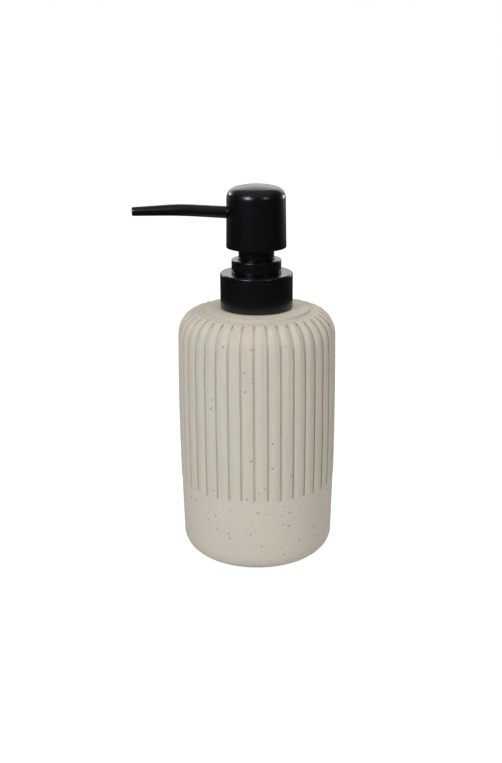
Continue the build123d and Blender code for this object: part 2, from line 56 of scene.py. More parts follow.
# ------------------------------------------------------------------ node helpers
def math_node(tree, operation, first, second=None):
    """A Math node on sockets or numbers; returns its output."""
    node = tree.nodes.new("ShaderNodeMath")
    node.operation = operation
    for index, value in enumerate((first, second)):
        if value is None:
            continue
        if isinstance(value, (int, float)):
            node.inputs[index].default_value = value
        else:
            tree.links.new(value, node.inputs[index])
    return node.outputs[0]


def mix_colour(tree, factor, first, second, blend="MIX"):
    """A colour mix of sockets or colours; returns its output."""
    node = tree.nodes.new("ShaderNodeMix")
    node.data_type = "RGBA"
    node.blend_type = blend
    for socket, value in (("Factor", factor), ("A", first), ("B", second)):
        if isinstance(value, bpy.types.NodeSocket):
            tree.links.new(value, node.inputs[socket])
        else:
            node.inputs[socket].default_value = value
    return node.outputs["Result"]


def remap(tree, value, low, high, to_low=0.0, to_high=1.0):
    """A clamped, eased map of a socket from low..high to to_low..to_high; returns its output."""
    node = tree.nodes.new("ShaderNodeMapRange")
    node.interpolation_type = "SMOOTHSTEP"
    tree.links.new(value, node.inputs["Value"])
    for socket, number in (
        ("From Min", low),
        ("From Max", high),
        ("To Min", to_low),
        ("To Max", to_high),
    ):
        node.inputs[socket].default_value = number
    return node.outputs["Result"]


# ------------------------------------------------------------------ camera, floor and lights
CAMERA_PLACE = Vector((-2.87, -498.3, 243.2)) * MM
CAMERA_PITCH = 17.61        # degrees below the horizon
CAMERA_ROLL = 0.39
CAMERA_LENS = 51.56
LIGHT_TARGET = Vector((0, 0, 0.1))

ROOM = 0.04                 # brightness of the studio's dark walls, its ceiling and its pale back wall
CEILING = 0.35
BACK_WALL = 1.9


def make_camera():
    data = bpy.data.cameras.new("camera")
    data.lens = CAMERA_LENS
    data.clip_start = 0.01
    camera = bpy.data.objects.new("camera", data)
    bpy.context.scene.collection.objects.link(camera)
    tilt = Matrix.Rotation(math.radians(90 - CAMERA_PITCH), 4, "X")
    roll = Matrix.Rotation(math.radians(-CAMERA_ROLL), 4, "Z")
    camera.matrix_world = Matrix.Translation(CAMERA_PLACE) @ tilt @ roll
    bpy.context.scene.camera = camera


def make_softbox(name, azimuth, elevation, distance, width, height, power, colour=(1, 1, 1), gloss=True):
    """An area light aimed at the middle of the bottle; azimuth 0 is the camera's side, + to the right."""
    data = bpy.data.lights.new(name, "AREA")
    data.shape = "ELLIPSE"
    data.size = width
    data.size_y = height
    data.energy = power
    data.color = colour
    light = bpy.data.objects.new(name, data)
    bpy.context.scene.collection.objects.link(light)
    a, e = math.radians(azimuth), math.radians(elevation)
    away = Vector((math.sin(a) * math.cos(e), -math.cos(a) * math.cos(e), math.sin(e)))
    light.visible_glossy = gloss
    light.location = LIGHT_TARGET + away * distance
    light.rotation_euler = away.to_track_quat("Z", "Y").to_euler()


def make_world():
    """White to the camera. Gloss sees a dark room with a pale wall behind the object and a dim ceiling."""
    world = bpy.data.worlds.new("studio")
    bpy.context.scene.world = world
    world.use_nodes = True
    tree = world.node_tree
    tree.nodes.clear()
    output = tree.nodes.new("ShaderNodeOutputWorld")
    background = tree.nodes.new("ShaderNodeBackground")
    background.inputs["Color"].default_value = (1, 1, 1, 1)
    paths = tree.nodes.new("ShaderNodeLightPath")
    direction = tree.nodes.new("ShaderNodeTexCoord")
    split = tree.nodes.new("ShaderNodeSeparateXYZ")
    tree.links.new(direction.outputs["Generated"], split.inputs[0])
    behind = remap(tree, split.outputs["Y"], 0.62, 0.93, 0.0, BACK_WALL)
    raised = remap(tree, split.outputs["Z"], 0.05, 0.25)
    wall = math_node(tree, "MULTIPLY", behind, raised)
    ceiling = remap(tree, split.outputs["Z"], 0.5, 0.95, ROOM, CEILING)
    room = math_node(tree, "ADD", wall, ceiling)
    seen = math_node(tree, "MAXIMUM", room, paths.outputs["Is Camera Ray"])
    tree.links.new(seen, background.inputs["Strength"])
    tree.links.new(background.outputs[0], output.inputs["Surface"])


FLOOR_REACH = 20.0
FLOOR_GLOW = 0.97           # so that the pale floor stays even far from the lights


def make_floor():
    """A plain pale floor; gloss sees it dark near the object and pale only far behind it."""
    mesh = bpy.data.meshes.new("floor")
    side = FLOOR_REACH
    corners = [(-side, -side, 0), (side, -side, 0), (side, side, 0), (-side, side, 0)]
    mesh.from_pydata(corners, [], [(0, 1, 2, 3)])
    floor = bpy.data.objects.new("floor", mesh)
    bpy.context.scene.collection.objects.link(floor)
    material = bpy.data.materials.new("pale_floor")
    material.use_nodes = True
    tree = material.node_tree
    shader = tree.nodes["Principled BSDF"]
    shader.inputs["Roughness"].default_value = 0.9
    shader.inputs["Specular IOR Level"].default_value = 0.0
    paths = tree.nodes.new("ShaderNodeLightPath")
    place = tree.nodes.new("ShaderNodeTexCoord")
    split = tree.nodes.new("ShaderNodeSeparateXYZ")
    tree.links.new(place.outputs["Object"], split.inputs[0])
    gloss = math_node(tree, "MULTIPLY", paths.outputs["Is Glossy Ray"], 0.97)
    seen = math_node(tree, "MAXIMUM", gloss, paths.outputs["Is Camera Ray"])
    tint = mix_colour(tree, gloss, (0.93, 0.93, 0.925, 1), (0, 0, 0, 1))
    shown = mix_colour(tree, paths.outputs["Is Camera Ray"], tint, (0.13, 0.13, 0.13, 1))
    tree.links.new(shown, shader.inputs["Base Color"])
    far = remap(tree, split.outputs["Y"], 0.5, 2.0, 0.0, 0.5)
    far_gloss = math_node(tree, "MULTIPLY", far, paths.outputs["Is Glossy Ray"])
    glow = math_node(tree, "MULTIPLY", paths.outputs["Is Camera Ray"], FLOOR_GLOW)
    tree.links.new(math_node(tree, "MAXIMUM", glow, far_gloss), shader.inputs["Emission Strength"])
    shader.inputs["Emission Color"].default_value = (1, 1, 1, 1)
    material.cycles.emission_sampling = "NONE"      # its glow lights nothing
    mesh.materials.append(material)


def make_studio():
    make_camera()
    make_world()
    make_floor()
    bpy.context.scene.view_settings.view_transform = "Standard"
    make_softbox("key_left", -36, 30, 1.1, 0.32, 0.26, 6.2, (0.88, 0.94, 1.0))
    make_softbox("key_right", 40, 30, 1.2, 0.26, 0.16, 0.9)
    make_softbox("low_front", 8, 8, 1.6, 1.2, 0.6, 4.6, (1.0, 0.99, 0.98), gloss=False)
    make_softbox("back_left", -138, 20, 1.1, 0.2, 0.2, 1.3)
    make_softbox("back_right", 136, 6, 1.1, 0.2, 0.2, 1.4)
    make_softbox("overhead", 40, 80, 1.4, 1.2, 1.0, 13.0, (1.0, 0.985, 0.97), gloss=False)


# ------------------------------------------------------------------ shader node groups
def new_group(name, inputs, outputs):
    """A shader node group with named sockets; inputs and outputs are {name: socket type}."""
    group = bpy.data.node_groups.new(name, "ShaderNodeTree")
    for socket, kind in inputs.items():
        group.interface.new_socket(socket, in_out="INPUT", socket_type=kind)
    for socket, kind in outputs.items():
        group.interface.new_socket(socket, in_out="OUTPUT", socket_type=kind)
    entry = group.nodes.new("NodeGroupInput")
    leave = group.nodes.new("NodeGroupOutput")
    return group, entry, leave


def object_place(tree, stretch=(1, 1, 1)):
    """Position on the piece in metres, stretched along its axes; returns a vector socket."""
    where = tree.nodes.new("ShaderNodeTexCoord")
    scaled = tree.nodes.new("ShaderNodeVectorMath")
    scaled.operation = "MULTIPLY"
    scaled.inputs[1].default_value = stretch
    tree.links.new(where.outputs["Object"], scaled.inputs[0])
    return scaled.outputs[0]


def noise_node(tree, where, scale, detail=2.0, roughness=0.5):
    """Noise over a place; scale is a number or a socket; returns the factor output."""
    node = tree.nodes.new("ShaderNodeTexNoise")
    node.inputs["Detail"].default_value = detail
    node.inputs["Roughness"].default_value = roughness
    tree.links.new(where, node.inputs["Vector"])
    if isinstance(scale, bpy.types.NodeSocket):
        tree.links.new(scale, node.inputs["Scale"])
    else:
        node.inputs["Scale"].default_value = scale
    return node.outputs["Fac"]


def build_tone_group():
    """Slow and fine tone changes over a base colour, as any moulded or cast batch shows."""
    group, entry, leave = new_group(
        "tone_variation",
        {
            "Colour": "NodeSocketColor",
            "Cool Tint": "NodeSocketColor",
            "Warm Tint": "NodeSocketColor",
            "Amount": "NodeSocketFloat",
            "Patch Scale": "NodeSocketFloat",
            "Fleck Scale": "NodeSocketFloat",
        },
        {"Colour": "NodeSocketColor", "Mask": "NodeSocketFloat"},
    )
    where = object_place(group)
    patch = noise_node(group, where, entry.outputs["Patch Scale"], 3.0)
    fleck = noise_node(group, where, entry.outputs["Fleck Scale"], 2.0)
    mask = remap(group, patch, 0.35, 0.65)
    tint = mix_colour(group, mask, entry.outputs["Cool Tint"], entry.outputs["Warm Tint"])
    toned = mix_colour(group, entry.outputs["Amount"], entry.outputs["Colour"], tint, "MULTIPLY")
    light = remap(group, fleck, 0.3, 0.7, 0.975, 1.02)
    shade = group.nodes.new("ShaderNodeVectorMath")
    shade.operation = "SCALE"
    group.links.new(toned, shade.inputs[0])
    group.links.new(light, shade.inputs["Scale"])
    group.links.new(shade.outputs[0], leave.inputs["Colour"])
    group.links.new(mask, leave.inputs["Mask"])
    return group


def build_grain_group():
    """Fine surface grain: a height for bump and a mask for roughness."""
    group, entry, leave = new_group(
        "fine_grain",
        {"Scale": "NodeSocketFloat", "Coarseness": "NodeSocketFloat"},
        {"Height": "NodeSocketFloat", "Mask": "NodeSocketFloat"},
    )
    where = object_place(group)
    fine = noise_node(group, where, entry.outputs["Scale"], 3.0, 0.6)
    wide_scale = math_node(group, "MULTIPLY", entry.outputs["Scale"], 0.23)
    wide = noise_node(group, where, wide_scale, 2.0)
    weighted = math_node(group, "MULTIPLY", wide, entry.outputs["Coarseness"])
    group.links.new(math_node(group, "ADD", fine, weighted), leave.inputs["Height"])
    group.links.new(remap(group, fine, 0.3, 0.7), leave.inputs["Mask"])
    return group


def build_scratch_group():
    """Sparse hairline scratches: long thin cells where a stretched noise is nearly level."""
    group, entry, leave = new_group(
        "hairlines",
        {"Scale": "NodeSocketFloat", "Amount": "NodeSocketFloat"},
        {"Mask": "NodeSocketFloat"},
    )
    masks = []
    for turn, stretch in ((0.5, (1, 1, 9)), (-0.7, (9, 1, 1))):
        turned = group.nodes.new("ShaderNodeVectorRotate")
        turned.rotation_type = "EULER_XYZ"
        turned.inputs["Rotation"].default_value = (turn, turn / 2, turn)
        group.links.new(object_place(group), turned.inputs["Vector"])
        scaled = group.nodes.new("ShaderNodeVectorMath")
        scaled.operation = "MULTIPLY"
        scaled.inputs[1].default_value = stretch
        group.links.new(turned.outputs[0], scaled.inputs[0])
        lines = noise_node(group, scaled.outputs[0], entry.outputs["Scale"], 1.0)
        level = math_node(group, "ABSOLUTE", math_node(group, "SUBTRACT", lines, 0.5))
        masks.append(remap(group, level, 0.0, 0.012, 1.0, 0.0))
    patches = noise_node(group, object_place(group), 60.0, 1.0)
    sparse = remap(group, patches, 0.56, 0.66)
    either = math_node(group, "MAXIMUM", masks[0], masks[1])
    kept = math_node(group, "MULTIPLY", either, sparse)
    group.links.new(math_node(group, "MULTIPLY", kept, entry.outputs["Amount"]), leave.inputs["Mask"])
    return group


def build_speck_group():
    """Scattered round specks, such as pinholes or dust: one per cell at most, of uneven size."""
    group, entry, leave = new_group(
        "specks",
        {
            "Cells Per Metre": "NodeSocketFloat",
            "Share": "NodeSocketFloat",
            "Radius": "NodeSocketFloat",
        },
        {"Mask": "NodeSocketFloat"},
    )
    cells = group.nodes.new("ShaderNodeTexVoronoi")
    cells.feature = "F1"
    group.links.new(object_place(group), cells.inputs["Vector"])
    group.links.new(entry.outputs["Cells Per Metre"], cells.inputs["Scale"])
    split = group.nodes.new("ShaderNodeSeparateColor")
    group.links.new(cells.outputs["Color"], split.inputs[0])
    chosen = math_node(group, "LESS_THAN", split.outputs[0], entry.outputs["Share"])
    uneven = remap(group, split.outputs[1], 0.0, 1.0, 0.35, 1.0)
    size = math_node(group, "MULTIPLY", uneven, entry.outputs["Radius"])
    inside = math_node(group, "SUBTRACT", size, cells.outputs["Distance"])
    soft = math_node(group, "DIVIDE", inside, math_node(group, "MULTIPLY", entry.outputs["Radius"], 0.15))
    clamped = group.nodes.new("ShaderNodeClamp")
    group.links.new(soft, clamped.inputs["Value"])
    group.links.new(math_node(group, "MULTIPLY", clamped.outputs[0], chosen), leave.inputs["Mask"])
    return group


TONE = build_tone_group()
GRAIN = build_grain_group()
HAIRLINES = build_scratch_group()
SPECKS = build_speck_group()


def use_group(tree, group, **values):
    """Places a node group; values are its inputs by name, with _ for a space."""
    node = tree.nodes.new("ShaderNodeGroup")
    node.node_tree = group
    for key, value in values.items():
        socket = node.inputs[key.replace("_", " ")]
        if isinstance(value, bpy.types.NodeSocket):
            tree.links.new(value, socket)
        elif socket.type == "RGBA":
            socket.default_value = (*value, 1)
        else:
            socket.default_value = value
    return node


# ------------------------------------------------------------------ materials
def new_material(name):
    material = bpy.data.materials.new(name)
    material.use_nodes = True
    tree = material.node_tree
    return material, tree, tree.nodes["Principled BSDF"]


def bump(tree, shader, height, strength, distance):
    node = tree.nodes.new("ShaderNodeBump")
    node.inputs["Strength"].default_value = strength
    node.inputs["Distance"].default_value = distance
    tree.links.new(height, node.inputs["Height"])
    tree.links.new(node.outputs["Normal"], shader.inputs["Normal"])


FOOT_CHANGE = (0.036, 0.042)    # heights between which the plain foot's look becomes the ribs'
GROOVE_SHADE_SIDE = (0.0, 0.034)       # places along X between which the grooves' dirt and painted shade grow to full depth, towards the shaded right side
GROOVE_SHADE_LEAST = 0.42              # its share everywhere else


def cast_cement():
    """Warm greige cast cement: cloudy tone, upright streaks, pinholes darkened with painted shade, and
    groove walls darkened with dirt and painted shade.
    """
    material, tree, shader = new_material("cast_cement")
    tone = use_group(
        tree,
        TONE,
        Colour=(0.492, 0.447, 0.380),
        Cool_Tint=(0.98, 1.0, 0.99),
        Warm_Tint=(1.015, 0.995, 0.985),
        Amount=1.0,
        Patch_Scale=55.0,
        Fleck_Scale=900.0,
    )
    place = tree.nodes.new("ShaderNodeSeparateXYZ")
    tree.links.new(object_place(tree), place.inputs[0])
    ribbed = remap(tree, place.outputs["Z"], *FOOT_CHANGE, 0.25, 1.0)
    upright = object_place(tree, (1, 1, 0.05))
    bands = noise_node(tree, upright, 170.0, 2.0)
    pink, green = (1.0, 0.965, 0.95, 1), (0.945, 0.975, 0.965, 1)
    banded = mix_colour(tree, remap(tree, bands, 0.35, 0.65), pink, green)
    streaks = noise_node(tree, upright, 620.0, 2.0)
    streaked = mix_colour(tree, remap(tree, streaks, 0.4, 0.7), banded, (0.95, 0.955, 0.96, 1), "MULTIPLY")
    streaked = mix_colour(tree, ribbed, tone.outputs["Colour"], streaked, "MULTIPLY")
    # Groove darkening is partly dirt and partly painted shade of the grooves' recesses: deepest on the
    # walls, lifted on the floors. The side mask adds painted shade towards the right side, where less light
    # falls.
    groove = tree.nodes.new("ShaderNodeAttribute")
    groove.attribute_name = "groove"
    walls = remap(tree, groove.outputs["Fac"], 0.02, 0.40, 0.0, 0.95)
    floors = remap(tree, groove.outputs["Fac"], 0.80, 0.98, 1.0, 0.35)
    side = remap(tree, place.outputs["X"], *GROOVE_SHADE_SIDE, GROOVE_SHADE_LEAST, 1.0)
    groove_shade_and_dirt_mask = math_node(tree, "MULTIPLY", walls, side)
    # multiplies in the groove tint below, a dirt colour that also carries painted shade
    groove_shade_and_dirt_tinted = mix_colour(
        tree,
        math_node(tree, "MULTIPLY", groove_shade_and_dirt_mask, floors),
        streaked,
        (0.58, 0.51, 0.41, 1),
        "MULTIPLY",
    )
    share = remap(tree, place.outputs["Z"], *FOOT_CHANGE, 1.0, 0.2)
    wide_pits = use_group(tree, SPECKS, Cells_Per_Metre=330.0, Share=share, Radius=0.16)
    fine_pits = use_group(tree, SPECKS, Cells_Per_Metre=580.0, Share=share, Radius=0.14)
    pits = math_node(tree, "MAXIMUM", wide_pits.outputs["Mask"], fine_pits.outputs["Mask"])
    # pinholes darkened with painted shade, which stands in for the shadow inside each hole
    pit_shaded_colour = mix_colour(tree, math_node(tree, "MULTIPLY", pits, 0.85), groove_shade_and_dirt_tinted, (0.16, 0.15, 0.13, 1))
    tree.links.new(pit_shaded_colour, shader.inputs["Base Color"])
    grain = use_group(tree, GRAIN, Scale=2600.0, Coarseness=0.8)
    hairlines = use_group(tree, HAIRLINES, Scale=90.0, Amount=0.35)
    relief = math_node(tree, "SUBTRACT", grain.outputs["Height"], math_node(tree, "MULTIPLY", pits, 6.0))
    relief = math_node(tree, "SUBTRACT", relief, hairlines.outputs["Mask"])
    bump(tree, shader, relief, 0.3, 0.00007)
    tree.links.new(remap(tree, grain.outputs["Mask"], 0, 1, 0.72, 0.9), shader.inputs["Roughness"])
    shader.inputs["Specular IOR Level"].default_value = 0.35
    return material


def moulded_plastic(name, colour, roughness, grain_depth, dust):
    """Moulded plastic with a fine mould grain, faint hairlines and a little settled dust."""
    material, tree, shader = new_material(name)
    tone = use_group(
        tree,
        TONE,
        Colour=colour,
        Cool_Tint=(0.9, 0.97, 1.05),
        Warm_Tint=(1.05, 1.0, 0.95),
        Amount=0.6,
        Patch_Scale=90.0,
        Fleck_Scale=1500.0,
    )
    specks = use_group(tree, SPECKS, Cells_Per_Metre=700.0, Share=dust, Radius=0.12)
    film = math_node(tree, "MULTIPLY", specks.outputs["Mask"], 0.5)
    dusted = mix_colour(tree, film, tone.outputs["Colour"], (0.3, 0.3, 0.3, 1))
    tree.links.new(dusted, shader.inputs["Base Color"])
    grain = use_group(tree, GRAIN, Scale=500.0, Coarseness=0.8)
    hairlines = use_group(tree, HAIRLINES, Scale=70.0, Amount=0.3)
    worn = math_node(tree, "ADD", tone.outputs["Mask"], hairlines.outputs["Mask"])
    uneven = remap(tree, worn, 0, 1.3, roughness - 0.003, roughness + 0.007)
    tree.links.new(uneven, shader.inputs["Roughness"])
    bump(tree, shader, grain.outputs["Height"], 0.25, grain_depth)
    return material


def stainless():
    """Drawn and ground stainless steel."""
    material, tree, shader = new_material("stainless")
    tone = use_group(
        tree,
        TONE,
        Colour=(0.60, 0.60, 0.59),
        Cool_Tint=(0.95, 0.98, 1.0),
        Warm_Tint=(1.0, 0.98, 0.95),
        Amount=0.7,
        Patch_Scale=400.0,
        Fleck_Scale=4000.0,
    )
    tree.links.new(tone.outputs["Colour"], shader.inputs["Base Color"])
    shader.inputs["Metallic"].default_value = 1.0
    grain = use_group(tree, GRAIN, Scale=5000.0, Coarseness=0.5)
    tree.links.new(remap(tree, grain.outputs["Mask"], 0, 1, 0.22, 0.36), shader.inputs["Roughness"])
    bump(tree, shader, grain.outputs["Height"], 0.2, 0.00001)
    return material


def soft_foam():
    """Dark closed-cell foam of the foot pad."""
    material, tree, shader = new_material("closed_cell_foam")
    tone = use_group(
        tree,
        TONE,
        Colour=(0.035, 0.035, 0.036),
        Cool_Tint=(0.8, 0.85, 0.9),
        Warm_Tint=(1.2, 1.15, 1.1),
        Amount=1.0,
        Patch_Scale=150.0,
        Fleck_Scale=2500.0,
    )
    cells = use_group(tree, SPECKS, Cells_Per_Metre=2200.0, Share=0.8, Radius=0.35)
    tree.links.new(tone.outputs["Colour"], shader.inputs["Base Color"])
    grain = use_group(tree, GRAIN, Scale=3000.0, Coarseness=1.0)
    relief = math_node(tree, "SUBTRACT", grain.outputs["Height"], cells.outputs["Mask"])
    bump(tree, shader, relief, 0.6, 0.0001)
    tree.links.new(remap(tree, grain.outputs["Mask"], 0, 1, 0.8, 0.95), shader.inputs["Roughness"])
    return material


# ------------------------------------------------------------------ mesh tools
SEAM_ANGLE = math.radians(38)   # sharper edges than this shade as creases


def finish_piece(name, vertices, faces, material, body, nodes, crease=SEAM_ANGLE):
    """Makes the mesh object, rides it on its body and hides the CAD nodes it stands for."""
    mesh = bpy.data.meshes.new(name)
    mesh.from_pydata(vertices, [], faces)
    mesh.validate()
    mesh.update()
    mesh.polygons.foreach_set("use_smooth", [True] * len(mesh.polygons))
    mesh.set_sharp_from_angle(angle=crease)
    mesh.materials.append(material)
    piece = bpy.data.objects.new(name, mesh)
    bpy.context.scene.collection.objects.link(piece)
    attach(piece, body)
    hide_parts(*nodes)
    return piece


def rounded(corners, steps=6):
    """An outline of (r, z, radius) corners, in mm, with each corner turned into an arc."""
    points = []
    count = len(corners)
    for index, (r, z, radius) in enumerate(corners):
        here = np.array((r, z), float)
        before = np.array(corners[index - 1][:2], float) - here
        after = np.array(corners[(index + 1) % count][:2], float) - here
        if radius <= 0:
            points.append((r, z))
            continue
        before /= np.linalg.norm(before)
        after /= np.linalg.norm(after)
        half = math.acos(max(-1.0, min(1.0, float(before @ after)))) / 2
        reach = radius / math.tan(half)
        middle = (before + after) / np.linalg.norm(before + after)
        centre = here + middle * radius / math.sin(half)
        start = here + before * reach - centre
        end = here + after * reach - centre
        first = math.atan2(start[1], start[0])
        turn = math.atan2(end[1], end[0]) - first
        turn = (turn + math.pi) % (2 * math.pi) - math.pi
        for step in range(steps + 1):
            angle = first + turn * step / steps
            points.append((centre[0] + radius * math.cos(angle), centre[1] + radius * math.sin(angle)))
    return points


def lathe(outline, segments):
    """Vertices and faces of a closed (r, z) outline in mm turned about +Z.

    A point on the axis (r = 0) becomes one pole; two neighbouring poles are the axis itself.
    """
    rings = []
    vertices = []
    for r, z in outline:
        if r < 1e-6:
            rings.append([len(vertices)] * segments)
            vertices.append((0, 0, z * MM))
            continue
        rings.append(list(range(len(vertices), len(vertices) + segments)))
        for step in range(segments):
            angle = 2 * math.pi * step / segments
            vertices.append((r * MM * math.cos(angle), r * MM * math.sin(angle), z * MM))
    faces = []
    for index, low in enumerate(rings):
        high = rings[(index + 1) % len(rings)]
        if low[0] == low[1] and high[0] == high[1]:
            continue
        for step in range(segments):
            following = (step + 1) % segments
            face = [low[step], low[following], high[following], high[step]]
            face = [v for at, v in enumerate(face) if v not in face[:at]]
            faces.append(face)
    return vertices, faces


def sweep_tube(path, radii, bores, segments):
    """Vertices and faces of a tube along a path of Vectors in metres; a bore of 0 everywhere is solid."""
    frames = []
    side = Vector((0, 1, 0))
    for index, point in enumerate(path):
        ahead = path[min(index + 1, len(path) - 1)]
        behind = path[max(index - 1, 0)]
        along = (ahead - behind).normalized()
        side = (side - along * side.dot(along)).normalized()
        frames.append((point, side.copy(), along.cross(side)))
    vertices = []
    faces = []

    def ring(frame_at, radius):
        point, across, up = frame_at
        start = len(vertices)
        for step in range(segments):
            angle = 2 * math.pi * step / segments
            vertices.append(point + across * radius * math.cos(angle) + up * radius * math.sin(angle))
        return start

    def join(first, second):
        for step in range(segments):
            following = (step + 1) % segments
            faces.append((first + step, first + following, second + following, second + step))

    outside = [ring(f, r) for f, r in zip(frames, radii)]
    for first, second in zip(outside, outside[1:]):
        join(first, second)
    if max(bores) > 0:
        inside = [ring(f, r) for f, r in zip(frames, bores)]
        for first, second in zip(inside, inside[1:]):
            join(second, first)
        join(outside[-1], inside[-1])
        join(inside[0], outside[0])
    else:
        faces.append(tuple(range(outside[0] + segments - 1, outside[0] - 1, -1)))
        faces.append(tuple(range(outside[-1], outside[-1] + segments)))
    return vertices, faces


# ------------------------------------------------------------------ where the CAD puts things
def reach(node):
    """A node's radius about the axis, its lowest and its highest point, in mm."""
    low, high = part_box(node)
    return high.x / MM, low.z / MM, high.z / MM


BOTTLE_RADIUS, FOOT_LEVEL, RING_TOP = reach("bottle_body")
SLEEVE_RADIUS, SLEEVE_FOOT, SLEEVE_TOP = reach("closure_sleeve")
LOCK_RADIUS, LOCK_FOOT, LOCK_TOP = reach("lock_collar")
HEAD_RADIUS, HEAD_FOOT, HEAD_TOP = reach("head_shell")
SPRING_RADIUS, SPRING_FOOT, SPRING_TOP = reach("return_spring")
LOCK_OVERHANG = 1.2
CUP_RADIUS = LOCK_RADIUS - LOCK_OVERHANG    # the pump housing's cup, inside the lock collar


# ------------------------------------------------------------------ bottle
WAIST_HEIGHT = 80.0
FOOT_TAPER = 1.0            # the foot and the shoulder are this much narrower than the waist
SHOULDER_TAPER = 0.3
FOOT_ROUND = (12.6, 10.6)   # quarter ellipses, width and height
SHOULDER_ROUND = (8.9, 12.0)
RING_RADIUS = 24.7
RING_RISE = 1.3
RING_SLOPE = 0.5
PAD_RECESS = (24.3, 1.2)    # radius, and height of its ceiling
FLANGE_SEAT = (16.3, 1.5)   # counterbore for the neck insert's flange
MOUTH_RADIUS = 15.1
CAVITY_FLOOR = 6.4
CAVITY_TOP = 114.3
CAVITY_RADIUS = 31.9
CAVITY_ROUND = 8.0

GROOVES = 38
FIRST_GROOVE = math.radians(267.8)
GROOVE_DEPTH = 0.9
GROOVE_FOOT = 38.6          # height where the grooves stop above the plain foot
GROOVE_END = 29.2           # radius where they stop on the shoulder
SHOULDER_FLARE = 1.1        # how much deeper they are over the shoulder
RIB_ROOF = 0.30             # how far a rib's middle stands above its edges
# distance from a groove's middle in mm, and the share of its depth there
GROOVE_SHAPE = ((0, 1.0), (0.20, 0.97), (0.33, 0.82), (0.42, 0.42), (0.50, 0.10), (0.62, 0))
GROOVE_EDGE = GROOVE_SHAPE[-1][0]
RIB_STEPS = 10


def rising(start, end, count):
    """Evenly spaced numbers from start up to, but not including, end."""
    return np.linspace(start, end, count, endpoint=False)


def quarter_ellipse(centre, size, first, last, count):
    angle = np.radians(rising(first, last, count))
    return [(centre[0] + size[0] * math.cos(a), centre[1] + size[1] * math.sin(a)) for a in angle]


def bottle_side(foot, waist, shoulder, heights):
    """Points of the circle through foot, waist and shoulder, at the given heights."""
    (r1, z1), (r2, z2), (r3, z3) = foot, waist, shoulder
    matrix = np.array([[r2 - r1, z2 - z1], [r3 - r2, z3 - z2]])
    squares = np.array([r2**2 - r1**2 + z2**2 - z1**2, r3**2 - r2**2 + z3**2 - z2**2]) / 2
    centre = np.linalg.solve(matrix, squares)
    radius = math.hypot(r1 - centre[0], z1 - centre[1])
    return [(centre[0] + math.sqrt(radius**2 - (z - centre[1]) ** 2), z) for z in heights]


def bottle_outline():
    """The bottle's closed half section (r, z), from the pad recess up the outside and down the cavity."""
    foot_radius = BOTTLE_RADIUS - FOOT_TAPER
    shoulder_radius = BOTTLE_RADIUS - SHOULDER_TAPER
    shoulder = RING_TOP - RING_RISE
    foot_centre = (foot_radius - FOOT_ROUND[0], FOOT_LEVEL + FOOT_ROUND[1])
    round_start = shoulder - SHOULDER_ROUND[1]
    shoulder_centre = (shoulder_radius - SHOULDER_ROUND[0], round_start)
    heights = np.concatenate(
        [
            rising(foot_centre[1], GROOVE_FOOT - 2.2, 12),
            rising(GROOVE_FOOT - 2.2, GROOVE_FOOT + 2.2, 22),
            rising(GROOVE_FOOT + 2.2, round_start, 46),
        ]
    )
    outside = [(0, PAD_RECESS[1]), (PAD_RECESS[0] - 0.2, PAD_RECESS[1]), PAD_RECESS]
    outside += [(PAD_RECESS[0], FOOT_LEVEL + 0.35), (PAD_RECESS[0] + 0.12, FOOT_LEVEL + 0.1)]
    outside += quarter_ellipse(foot_centre, FOOT_ROUND, -85, 0, 18)
    waist = (BOTTLE_RADIUS, WAIST_HEIGHT)
    outside += bottle_side((foot_radius, foot_centre[1]), waist, (shoulder_radius, round_start), heights)
    outside += quarter_ellipse(shoulder_centre, SHOULDER_ROUND, 0, 66, 22)
    outside += quarter_ellipse(shoulder_centre, SHOULDER_ROUND, 66, 90, 16)
    outside += [(shoulder_centre[0], shoulder), (shoulder_centre[0] - 1.2, shoulder)]
    ring = rounded(
        [
            (RING_RADIUS + 2.5, shoulder, 0),
            (RING_RADIUS + RING_SLOPE, shoulder, 0.25),
            (RING_RADIUS, RING_TOP, 0.4),
            (FLANGE_SEAT[0], RING_TOP, 0.3),
            (FLANGE_SEAT[0], RING_TOP - FLANGE_SEAT[1], 0.1),
            (MOUTH_RADIUS, RING_TOP - FLANGE_SEAT[1], 0.3),
            (MOUTH_RADIUS, CAVITY_TOP, 0.5),
            (CAVITY_RADIUS, CAVITY_TOP, CAVITY_ROUND),
            (CAVITY_RADIUS, CAVITY_FLOOR, CAVITY_ROUND),
            (0, CAVITY_FLOOR, 0),
        ]
    )
    return np.array(outside + ring)


def wander(seed, count, waves, places):
    """Smooth seeded unevenness in -1..1: one row per groove, along the given places."""
    chance = np.random.RandomState(seed)
    total = np.zeros((count, len(places)))
    for wave in waves:
        phase = chance.uniform(0, 2 * math.pi, (count, 1))
        size = chance.uniform(0.3, 1.0, (count, 1))
        stretch = chance.uniform(0.8, 1.25, (count, 1))
        total += size * np.sin(2 * math.pi * places[None, :] * stretch / wave + phase)
    return total / len(waves)


def eased(values, low, high):
    """0 below low, 1 above high, with a smooth change between."""
    share = np.clip((values - low) / (high - low), 0, 1)
    return share * share * (3 - 2 * share)


